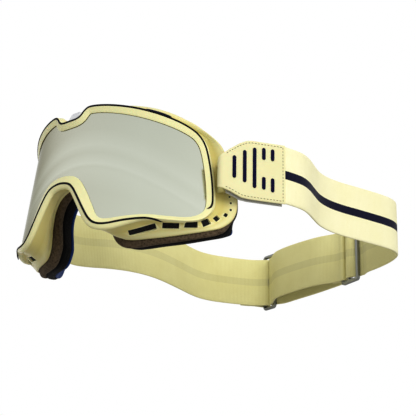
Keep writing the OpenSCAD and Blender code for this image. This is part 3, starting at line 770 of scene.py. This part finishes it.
makeStripe("stripeUpper", -stripes["upper"], stripes["upper"], stripes["upperCurl"], "stripe_upper")
makeStripe("stripeLower", stripes["lower"], whole - stripes["lower"], stripes["lowerCurl"], "stripe_lower")

# the bars' spans are places along the rim, and they reach from one share of the wall to another
bars = {"spans": [(4.3, 5.35), (5.85, 6.75)], "from": 0.25, "to": 0.65,
        "thick": 0.7, "lift": 0.05, "sunk": 0.3}


def barLoop(first, last):
    # pillow on the wall: height thick * (1 - u^10)(1 - v^8) over shares u of its length and v of its width
    k = placesBetween(first, last) % count
    u = np.linspace(-1, 1, len(k))[:, None]
    v = np.linspace(-1, 1, 13)[None, :]
    mid, reach = (bars["from"] + bars["to"]) / 2, (bars["to"] - bars["from"]) / 2
    t = mid + reach * v * (1 - 0.12 * np.abs(u) ** 6 * np.abs(v) ** 2)
    base = neck[k, None] + (flare - neck)[k, None] * t[..., None]
    rise = bars["thick"] * (1 - np.abs(u) ** 10) * (1 - np.abs(v) ** 8)
    up = wallWay[k, None]
    return sheetLoop(base + up * (bars["lift"] + rise)[..., None], base - up * bars["sunk"])


def makeBars():
    spans = bars["spans"] + [(whole - b, whole - a) for a, b in bars["spans"]]
    return closedMesh("browBars", joined([tubeMesh(barLoop(*span)) for span in spans]), "navy", 50)


plate = {"width": 9.8, "height": 6.4, "corner": 1.6, "z": 46.8, "lean": 0.4, "foot": 42.2, "sunk": 0.2}


def makeBadge():
    # bare plate in the notch: a rounded rectangle wrapped on the lens curve and leaning back up the wall
    flat = roundedOutline(plate["width"], plate["height"], plate["corner"], 8)
    rings = []
    for deep, shrink in ((-5, 1), (-0.35, 1), (0, 0.93)):
        arc, z = flat[:, 0] * shrink, plate["z"] + flat[:, 1] * shrink
        rings.append(wrap(arc, z, -plate["sunk"] - plate["lean"] * (z - plate["foot"]) + deep))
    return closedMesh("badgePlate", tubeMesh(np.stack(rings)), "plate", 40)


finished(makeBadge(), "frame", "plate", "brow_badge")
finished(makeBars(), "frame", "bars", "brow_bars")
print("lens and trim made")

foam = {"base": 7.5, "core": 8.5, "face": 3, "width": 9, "edge": 0.6, "lean": 0.09, "pinch": 0.75,
        "seat": 0.3, "seam": 0.15, "crown": 0.9, "inset": 1.5, "noInset": (20.5, 2),
        "ripple": 0.066, "waves": 0.16,
        "thin": 0.52, "temple": 0.34, "templeX": (56, 26), "templeEnd": (13.8, 1.9),
        # how far the lower edge droops, over places
        "droop": [[0, 12.5, 14, 15, 16, 18.5, 20, 21.5, 22.5, 23.5, 24.5, 26, 27],
                  [0, 0, 0.2, 1.5, 3.2, 3.8, 4.8, 6.6, 7.4, 5.4, 3.0, 1.2, 0.8]],
        "filter": 3, "filterBulge": 0.35, "filterRows": (16.5, 20), "filterSpan": (0, 0.75), "plug": 0.98}
droop = np.interp(place, *foam["droop"])


def foamSection(y0, y1, crown):
    # a ring of distances in from the edge and heights; its sides bulge as pinch * (2t-1)^4 between the seams
    t = np.linspace(0, 1, 9)
    inner = np.linspace(0, 1, 6)[1:-1]
    y = np.concatenate([y0 + (y1 - y0) * t, np.full(4, y1), (y1 - (y1 - y0) * t), np.full(4, y0)])
    tuck = foam["pinch"] * np.abs(2 * t - 1) ** 4 + crown * t**6
    out = foam["edge"] + foam["lean"] * (y0 + (y1 - y0) * t) + tuck
    back = foam["edge"] + foam["width"] - tuck[::-1]
    behind, before = out[-1] + (back[0] - out[-1]) * inner, back[-1] + (out[0] - back[-1]) * inner
    return np.concatenate([out, behind, back, before]), y


def foamLayer(name, y0, y1, crown, inset, finish):
    # the section is carried round the flange: thinner and leaning at the temples, drooping at the lower edge
    rings = []
    inset = inset * (1 - ease(place, *foam["noInset"]))
    temple = ease(np.abs(flatFlange[:, 0]), *foam["templeX"]) * (1 - ease(place, *foam["templeEnd"]))
    for d, y in zip(*foamSection(y0, y1, crown)):
        back = y * (1 - foam["thin"] * temple)
        sag = (droop * ease(y, -1.5, 5) - foam["temple"] * temple * back - inset) * (1 - (d - 1) / 12)
        rings.append(flangeIn(d - sag, back, ease(d, 1, 5)))
    rings = np.stack(rings)
    ways = np.random.default_rng(7).normal(size=(4, 3))
    ripple = sum(np.sin(rings @ way * foam["waves"] + i) for i, way in enumerate(ways)) * foam["ripple"]
    rings = rings + unit(rings - rings.mean(0)) * ripple[..., None]
    piece = closedMesh(name, (rings.reshape(-1, 3), gridFaces(*rings.shape[:2], True)), finish, 48)
    return piece


base, core, seam = foam["base"], foam["core"], foam["seam"]
finished(foamLayer("foamBase", foam["seat"], base, 0, 0, "brown"), "frame", "foam_brown", "foam_base")
finished(foamLayer("foamCore", base + seam, base + core, 0, 0, "black"), "frame", "foam_black", "foam_core")
finished(foamLayer("foamFace", base + core + seam, base + core + foam["face"], foam["crown"], foam["inset"],
                   "fleece"), "frame", "fleece", "foam_face")


def makeFilter(name, side, first, last, node):
    # slab behind the vents: the inner skin of the wall moved in by the seat and by the filter's thickness
    i = placesBetween(first, last) % count
    v = np.linspace(*foam["filterSpan"], 7)[None, :, None]
    skin = skinLow[i, None] + (skinHigh - skinLow)[i, None] * v
    bulge = np.sin(np.linspace(0, math.pi, 7))[None, :, None] * foam["filterBulge"]
    near, far = foam["seat"], foam["seat"] + foam["filter"]
    back = skin - wallWay[i, None] * (far + bulge)
    loop = sheetLoop(skin - wallWay[i, None] * near, back)
    plugs = ventBlocks(foam["plug"], vents["back"], [side])
    piece = closedMesh(name, joined([tubeMesh(loop), plugs]), "filter", 50)
    return finished(piece, "frame", "filter", node)


filterStart, filterStop = foam["filterRows"]
makeFilter("filterLeft", 1, filterStart, filterStop, "vent_foam_left")
makeFilter("filterRight", -1, whole - filterStop, whole - filterStart, "vent_foam_right")
print("foam made")

tabs = {"left": 28, "right": 16, "skin": 1.4, "hole": 1.68, "barShift": -4.8, "long": 45, "hidden": 7.9,
        # how low and how high the skin reaches at distances back from the post
        "lowEdge": [[-3.2, -10.4], [4.6, -12.6], [13, -15.9], [18, -16.3], [30, -16.1], [45, -15.7]],
        "highEdge": [[-3.2, 9.9], [-1.5, 12.6], [4.3, 17.4], [11.5, 22.6], [16.5, 25.2], [20, 25.9],
                     [45, 26.6]],
        "strap": 1.6, "lining": 1.0, "liningEdge": (0.8, 0.4), "liningEnds": (3, 44), "fit": 0.1,
        "stitch": 2.35, "stitchIn": 1.7, "stitchLong": 1.45, "stitchThick": 0.42, "stitchLift": 0.03}
tabMid = tabs["hole"] - tabs["fit"] - tabs["strap"] / 2


def fromCad(name, node, finish, bevel, segments, body, slot, shift=(0, 0, 0)):
    # a copy of a CAD mesh, merged, its flat faces joined again and its edges rounded
    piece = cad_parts[node].copy()
    piece.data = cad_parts[node].data.copy()
    piece.name, piece.parent = name, None
    for key in list(piece.keys()):
        del piece[key]
    bpy.context.scene.collection.objects.link(piece)
    b = bmesh.new()
    b.from_mesh(piece.data)
    bmesh.ops.remove_doubles(b, verts=b.verts, dist=1e-6)
    bmesh.ops.dissolve_limit(b, angle_limit=math.radians(0.5), verts=b.verts, edges=b.edges)
    b.to_mesh(piece.data)
    b.free()
    piece.data.transform(Matrix.Translation([v * mm for v in shift]))
    coat(piece, finishes[finish])
    smoothed(piece.data)
    edges = soften(piece, bevel, segments)
    edges.angle_limit, edges.harden_normals = math.radians(40), True
    return finished(piece, body, slot, node)


def tabAngle(side):
    return math.radians(tabs["left"] if side > 0 else tabs["right"])


def tabPlace(side, points):
    # from the tab's own plane, outward x and back y, to its place on the post
    c, s = math.cos(-tabAngle(side)), math.sin(-tabAngle(side))
    p = points @ np.array([[c, s, 0], [-s, c, 0], [0, 0, 1]])
    return p * [side, 1, 1] + [side * lugs["post"][0], lugs["post"][1], 0]


def edgeAt(u, edge):
    # height of the tab's low or high edge at a distance u back from the post
    e = np.array(tabs[edge])
    return np.interp(u, e[:, 0], e[:, 1])


def tabOutline(first, last, lowIn, highIn):
    # the tab's outline: back along its low edge and forward along its high one, each moved in
    u = np.array([first, 4.6, 9, 13, 18, 30, last])
    low = np.column_stack([u, edgeAt(u, "lowEdge") + lowIn])
    u = np.array([last, 30, 20, 16.5, 11.5, 4.3, first])
    return np.vstack([low, np.column_stack([u, edgeAt(u, "highEdge") - highIn])])


def makeTab(side, name, node, body):
    # skin carried along its section: flat from the free end to the post, half round it, and a short way back
    r = tabs["hole"] + tabs["skin"] / 2
    flat = tabs["long"] + 1
    a = np.radians(np.linspace(0, 180, 15))[1:]
    u = np.concatenate([np.linspace(tabs["long"], 0, flat), -r * np.sin(a), [1, 2.5, 4.5]])
    x = np.concatenate([np.full(flat, r), r * np.cos(a), [-r, -r, -r]])
    turn = np.concatenate([np.zeros(flat), a, np.full(3, math.pi)])
    hidden = ease(turn, 1.7, 0.6)
    at = np.where(turn > 1.57, tabs["lowEdge"][0][0], u)  # past a quarter turn the edge stays as it is
    lowZ = edgeAt(at, "lowEdge") * (1 - hidden) - tabs["hidden"] * hidden
    highZ = edgeAt(at, "highEdge") * (1 - hidden) + tabs["hidden"] * hidden
    v = np.concatenate([[0, 0.008, 0.02], np.linspace(0.05, 0.95, 16), [0.98, 0.992, 1]])
    fat = np.concatenate([[0.45, 0.8, 0.96], np.ones(16), [0.96, 0.8, 0.45]]) * tabs["skin"] / 2
    z = lowZ[:, None] + (highZ - lowZ)[:, None] * v
    outX, outU = np.cos(turn)[:, None], -np.sin(turn)[:, None]
    sheets = [np.stack([x[:, None] + outX * f, u[:, None] + outU * f, z], -1) for f in (fat, -fat)]
    piece = closedMesh(name, tubeMesh(tabPlace(side, sheetLoop(*sheets))), "tab", 45)
    return finished(piece, body, "tab", node)


def stitchRow(points, ways, ups, long, thick):
    # each stitch is a capsule, long along its way and thick across, lying on the surface
    a = np.linspace(0, 2 * math.pi, 7)[:-1]
    along = np.array([-0.5, -0.4, -0.15, 0.15, 0.4, 0.5]) * long
    fat = np.array([0.25, 0.8, 1, 1, 0.8, 0.25]) * thick / 2
    sides = np.cross(ways, ups)
    p = (points[:, None, None] + ways[:, None, None] * along[None, :, None, None]
         + sides[:, None, None] * (fat[:, None] * np.cos(a))[None, ..., None]
         + ups[:, None, None] * (fat[:, None] * np.sin(a))[None, ..., None])
    return joined([tubeMesh(stitch) for stitch in p])


def runOf(line):
    # how far along the line each of its points lies
    return np.concatenate([[0], np.cumsum(np.linalg.norm(np.diff(line, axis=0), axis=1))])


def alongLine(line, pitch):
    # points at even steps of a line, with the way on at each
    line = np.asarray(line, float)
    run = runOf(line)
    s = np.arange(pitch / 2, run[-1], pitch)
    p = np.stack([np.interp(s, run, line[:, k]) for k in range(3)], -1)
    i = np.clip(np.searchsorted(run, s) - 1, 0, len(run) - 2)
    return p, unit(np.diff(line, axis=0))[i]


def tabStitches(side, name):
    # a row of stitches inside the tab's edge, on its outer face
    x = tabs["hole"] + tabs["skin"] + tabs["stitchLift"]
    inset = tabs["stitchIn"]
    path = tabOutline(1, tabs["long"] - inset, inset, inset)
    p, way = alongLine([[x, y, z] for y, z in path], tabs["stitch"])
    ends = [tabPlace(side, q) for q in (p, p + way, p + [1, 0, 0])]
    row = stitchRow(ends[0], ends[1] - ends[0], ends[2] - ends[0], tabs["stitchLong"], tabs["stitchThick"])
    return closedMesh(name, row, "darkThread", 60)


def makeLining(side, name, node, body):
    # thin padded sheet behind the strap's end, its outline carried through six levels that round its edge
    lowOut, highIn = tabs["liningEdge"]
    flat = tabOutline(*tabs["liningEnds"], -lowOut, highIn)
    on = np.arange(6)[:, None] / 6
    dense = (flat[:, None] + (np.roll(flat, -1, 0) - flat)[:, None] * on).reshape(-1, 2)
    centre = dense.mean(0)
    x0 = tabMid - tabs["strap"] / 2 - tabs["fit"] - tabs["lining"]
    levels = [(0, 0.94), (0.0, 0.985), (0.2, 1.0), (0.8, 1.0), (1.0, 0.985), (1.0, 0.94)]
    rings = [np.column_stack([np.full(len(dense), x0 + h * tabs["lining"]), centre + (dense - centre) * k])
             for h, k in levels]
    piece = closedMesh(name, tubeMesh(tabPlace(side, np.stack(rings))), "lining", 60)
    return finished(piece, body, "lining", node)


# heights along the post with its radius there
post = {"levels": [[-10.2, 1.2], [-9.9, 1.5], [10.1, 1.5], [10.4, 1.2]], "sides": 24}


def makePost(side, name, node):
    # upright pin, its ends rounded: circles at their levels
    a = np.linspace(0, 2 * math.pi, post["sides"] + 1)[:-1]
    x, y = side * lugs["post"][0], lugs["post"][1]
    rings = [np.column_stack([x + r * np.cos(a), y + r * np.sin(a), np.full(len(a), z)])
             for z, r in post["levels"]]
    return finished(closedMesh(name, tubeMesh(np.stack(rings)), "steel", 50), "frame", "pin", node)


for side, word in hands:
    hand = word.lower()
    body = f"{hand}_tab"
    angle = tabAngle(side)
    makeTab(side, f"tab{word}", f"tab_{hand}", body)
    shift = [side * math.sin(angle) * tabs["barShift"], math.cos(angle) * tabs["barShift"], 0]
    fromCad(f"tabBars{word}", f"tab_bars_{hand}", "navy", 0.18, 2, body, "bars", shift)
    makeLining(side, f"lining{word}", f"tab_lining_{hand}", body)
    finished(tabStitches(side, f"tabStitches{word}"), body, "tab")
    makePost(side, f"post{word}", f"strap_post_{hand}")
fromCad("slider", "adjuster_slider", "buckle", 0.5, 3, "slider", "buckle")
coat(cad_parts["adjuster_ring"], finishes["buckle"])
print("tabs and buckles made")

strap = {"width": 41.2, "thick": 1.6, "z": 5.7, "fine": 8, "rows": 22,
         "pitch": 9.5, "sliderAt": (50.5, 189.2), "sliderTurn": 160, "sliderThick": 2.4,
         "ringNear": (-43, 213.5), "ringFar": (-55.5, 216), "wire": 1.5,
         "wave": 0.35, "waveLong": 17, "head": (5, 90), "slack": 2.3, "narrowest": 0.46, "taper": 17,
         "stitch": 2.0, "stitchLong": 1.3, "stitchThick": 0.4}
inTab = [6, 20, 34, 44, 47.5]
pitch = strap["pitch"]
over = strap["sliderThick"] / 2 + 0.5 + strap["thick"] / 2


def onSlider(a, b):
    # a along the slider and b out from its middle, in plan
    t = math.radians(strap["sliderTurn"])
    return [strap["sliderAt"][0] + a * math.cos(t) + b * math.sin(t),
            strap["sliderAt"][1] + a * math.sin(t) - b * math.cos(t)]


def tabPoint(side, u):
    # the middle of the strap inside a tab, u back from the post, in plan
    a = tabAngle(side)
    return [side * (lugs["post"][0] + u * math.sin(a) + tabMid * math.cos(a)),
            lugs["post"][1] + u * math.cos(a) - tabMid * math.sin(a)]


def roundBar(at, degrees, towards):
    # round a wire of the ring in plan, with slack on the side that the loop comes from
    r = strap["wire"] + 0.15 + strap["thick"] / 2
    r += strap["slack"] * max(0, math.cos(math.radians(degrees - towards))) ** 2
    return [at[0] + r * math.cos(math.radians(degrees)), at[1] + r * math.sin(math.radians(degrees))]


# the strap's route in plan: chosen points from the left tab to the slider, on to the ring and back
nearRun = [[113.4, 34], [111.8, 45], [107.5, 57.5], [103.5, 70], [102.3, 83], [104, 97], [107.5, 111],
           [111, 125], [114, 138.5], [114.8, 150], [111.5, 160], [104, 167.5], [94, 173.5], [82, 178.6],
           [71, 182.6]]
outerRun = [[32, 200.6], [20, 204], [5, 207.8], [-10, 211.3], [-24, 214.6], [-35, 216.8]]
innerRun = [[-43.2, 210.2], [-38.5, 205.5], [-31, 199.8], [-20, 195.6], [-6, 192.3], [8, 190], [20, 189.2]]
# and from the ring to the right tab
farRun = [[-58.7, 209], [-64, 203.3], [-70, 194.5], [-76.5, 183], [-81, 173], [-83.3, 161], [-82.3, 148],
          [-79.8, 134], [-77.3, 119], [-75.3, 104], [-74.8, 90], [-76.4, 77], [-80.6, 64.5], [-87.5, 53],
          [-95.5, 43.5], [-101, 34.5]]
# over, under and out of the slider's bars, and the end folded round its last bar
threading = [(-pitch - 5, over + 0.3), (-pitch - 1.6, over), (-pitch + 1.6, over), (-pitch / 2, 0),
             (-1.6, -over), (1.5, -over), (4.3, 1), (7, 4), (pitch, 4.5), (pitch + 3, 4.4)]
sewnEnd = [(pitch + 8, -4.8), (pitch + 4.4, -3.3), (pitch + 1.4, -2.5), (pitch - 0.9, -2.4),
           (pitch - 2.3, -1.75), (pitch - 2.75, 0), (pitch - 2.3, 1.75), (pitch - 0.8, 2.4),
           (pitch + 1.6, 2.35), (pitch + 4.2, 0.4), (pitch + 7, -1.8), (pitch + 10, -3.4)]
longParts = [[tabPoint(1, u) for u in inTab], nearRun, [onSlider(*p) for p in threading], outerRun,
             [roundBar(strap["ringNear"], a, 168) for a in (84, 118, 152, 186, 222)], innerRun,
             [onSlider(*p) for p in sewnEnd]]
shortParts = [[[-69.3, 199.6], [-65.9, 204.6], [-62, 209]],
              [roundBar(strap["ringFar"], a, -10) for a in (150, 100, 55, 10, -35)], farRun,
              [tabPoint(-1, u) for u in inTab[::-1]]]


def ribbonSection():
    # heights and half thicknesses round the webbing's section: flat faces with rounded edges
    w, t = strap["width"] / 2, strap["thick"] / 2
    face = np.linspace(-w + 1.2, w - 1.2, strap["rows"])
    v = np.concatenate([[-w + 0.05, -w + 0.4], face, [w - 0.4, w - 0.05]])
    fat = np.full(len(v), t)
    fat[[0, -1]], fat[[1, -2]] = 0.35 * t, 0.85 * t
    return np.concatenate([v, v[::-1]]), np.concatenate([fat, -fat[::-1]])


def stretched(piece):
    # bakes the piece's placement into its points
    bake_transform(piece)


def ribbon(name, line, first, last, taper, nodes=()):
    # webbing: its section carried along the line, across to the line's left; the edges wave as
    # sin(run / long) * sin(pi * share)^2, and an end in a tab narrows over a length
    side, run = leftOf(unit(np.gradient(line, axis=0))), runOf(line)
    pick = slice(first, last + 1)
    line, side, run = line[pick], side[pick], run[pick]
    height, across = ribbonSection()
    edge = np.abs(height) / (strap["width"] / 2)
    share = (run - run[0]) / (run[-1] - run[0])
    swing = np.sin(run[:, None] / strap["waveLong"] + np.sign(height) * 1.3)
    wave = strap["wave"] * edge**3 * swing * np.sin(share * math.pi)[:, None] ** 2
    if taper:
        u = run - run[0] if taper > 0 else run[-1] - run
        narrow = strap["narrowest"] + (1 - strap["narrowest"]) * ease(u, 0, strap["taper"])
    else:
        narrow = np.ones(len(line))
    height = height * narrow[:, None]
    shift = across + wave
    x, y = line[:, :1] + side[:, :1] * shift, line[:, 1:] + side[:, 1:] * shift
    points = np.dstack([x, y, strap["z"] + height])
    uv = np.dstack([run[:, None] + 0 * shift, height]) / 100
    away = np.sign(((line - strap["head"]) * side).sum(-1))
    outer = (across * away[:, None] > 0).astype(float)
    piece = closedMesh(name, tubeMesh(points), "webbing", 40, uv=uv.reshape(-1, 2), outer=outer.ravel())
    stretched(piece)
    if nodes:
        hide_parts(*nodes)


def partEnds(parts):
    # index on the fine line at which each part of a route starts
    return [n * strap["fine"] for n in np.cumsum([0] + [len(p) for p in parts])]


longLine = spline(np.vstack(longParts), strap["fine"])
shortLine = spline(np.vstack(shortParts), strap["fine"])
longLast, shortLast = len(longLine) - 1, len(shortLine) - 1
fine = strap["fine"]
tabEnd, threadEnd, ringEnd, innerEnd = (partEnds(longParts)[k] for k in (1, 3, 5, 6))
z = strap["z"]
sideCut = tabEnd + 11 * fine
outerCut = threadEnd + 4 * fine
innerCut = ringEnd + 2 * fine
farCut = partEnds(shortParts)[2] + 5 * fine
ribbon("strapSide", longLine, 0, sideCut, 1,
       ["strap_long"])
ribbon("strapThreaded", longLine, sideCut, threadEnd, 0)
ribbon("strapOuter", longLine, threadEnd, outerCut, 0)
ribbon("strapRing", longLine, outerCut, innerCut, 0)
ribbon("strapInner", longLine, innerCut, longLast, 0)
ribbon("strapFarRing", shortLine, 0, farCut, 0,
       ["strap_short"])
ribbon("strapFar", shortLine, farCut, shortLast, -1)


def seamStitches(name, line, places):
    # rows of stitches across the webbing, on the face to the line's left, at counts along the line
    side = leftOf(unit(np.gradient(line, axis=0)))
    high = strap["width"] / 2
    heights = np.arange(-high + 2.5, high - 2, strap["stitch"])[:, None] * [0, 0, 1]
    points, ups = [], []
    for at in places:
        out = np.array([*side[at], 0])
        points.append(np.array([*line[at], strap["z"]]) + out * strap["thick"] / 2 + heights)
        ups.append(np.tile(out, (len(heights), 1)))
    points = np.vstack(points)
    ways = np.tile([0.0, 0, 1], (len(points), 1))
    row = stitchRow(points, ways, np.vstack(ups), strap["stitchLong"], strap["stitchThick"])
    stretched(closedMesh(name, row, "thread", 60))


seamStitches("sewnEndStitches", longLine, [innerEnd + fine, innerEnd + 2 * fine - 2])
print("strap threaded")

# lengths in millimetres, but for the focal length, which is in pixels of a square frame
shot = {"azimuth": 40, "elevation": -20, "roll": 1, "distance": 900, "focal": 1256, "aim": (45.7, 0.9),
        "frame": 416, "film": 36}
# the sky's strength goes from the horizon's to the zenith's over a span; the key's places are in metres
light = {"horizon": 1.0, "zenith": 0.55, "span": (0.5, 0.8), "gamma": 0.78,
         "key": 10, "keySize": 0.7, "keyAt": (1.15, -0.5, 0.42), "keyAim": (0.03, 0.03, 0)}
floorLook = {"z": -360, "half": 6000, "color": (0.55, 0.54, 0.51), "dark": (0.53, 0.52, 0.49),
             "pale": (0.57, 0.56, 0.53)}


def placeCamera():
    # back is the way from the part to the camera; the frame is turned by the roll and shifted to the aim
    a, e, roll = (math.radians(shot[k]) for k in ("azimuth", "elevation", "roll"))
    back = np.array([math.sin(a) * math.cos(e), -math.cos(a) * math.cos(e), math.sin(e)])
    level = np.array([math.cos(a), math.sin(a), 0])
    up = np.cross(back, level)
    sideways = math.cos(roll) * level + math.sin(roll) * up
    up = -math.sin(roll) * level + math.cos(roll) * up
    data = bpy.data.cameras.new("camera")
    data.sensor_width, data.lens = shot["film"], shot["focal"] / shot["frame"] * shot["film"]
    data.clip_start, data.clip_end = 0.05, 50
    camera = linked("camera", data)
    at = (back * shot["distance"] + sideways * shot["aim"][0] + up * shot["aim"][1]) * mm
    turn = Matrix(np.stack([sideways, up, back], 1).tolist()).to_4x4()
    camera.matrix_world = Matrix.Translation(at.tolist()) @ turn
    bpy.context.scene.camera = camera


def placeKey():
    # one large soft lamp beside the wearer's left; it leaves no bright patch in the mirror
    data = bpy.data.lights.new("key", "AREA")
    data.size, data.energy = light["keySize"], light["key"]
    lamp = linked("key", data)
    way = Vector(light["keyAim"]) - Vector(light["keyAt"])
    lamp.matrix_world = Matrix.Translation(light["keyAt"]) @ way.to_track_quat("-Z", "Y").to_matrix().to_4x4()
    lamp.visible_glossy = False


def makeFloor():
    s, z = floorLook["half"], floorLook["z"]
    floor = makePiece("floor", [[-s, -s, z], [s, -s, z], [s, s, z], [-s, s, z]], [[0, 1, 2, 3]], "shell", 0)
    paper = Finish("paleFloor", floorLook["color"], 0.9)
    paper.speckle(3, 2, floorLook["dark"], floorLook["pale"])
    coat(floor, paper)


def makeSky():
    # white all round, weaker towards the zenith
    world = bpy.data.worlds.new("studio")
    world.use_nodes = True
    sky = Nodes(world.node_tree)
    up = sky.parts(sky.node("ShaderNodeTexCoord", out="Generated"))[2]
    low, high = light["span"]
    strength = sky.node("ShaderNodeMapRange", {"interpolation_type": "SMOOTHSTEP"},
                        {"Value": up, "From Min": low, "From Max": high,
                         "To Min": light["horizon"], "To Max": light["zenith"]})
    background = sky.tree.nodes["Background"]
    plug(sky.tree, strength, background.inputs["Strength"])
    background.inputs["Color"].default_value = (1, 1, 1, 1)
    bpy.context.scene.world = world


placeCamera()
makeFloor()
makeSky()
placeKey()
bpy.context.scene.view_settings.view_transform = "Standard"
bpy.context.scene.view_settings.gamma = light["gamma"]
print("stage set")
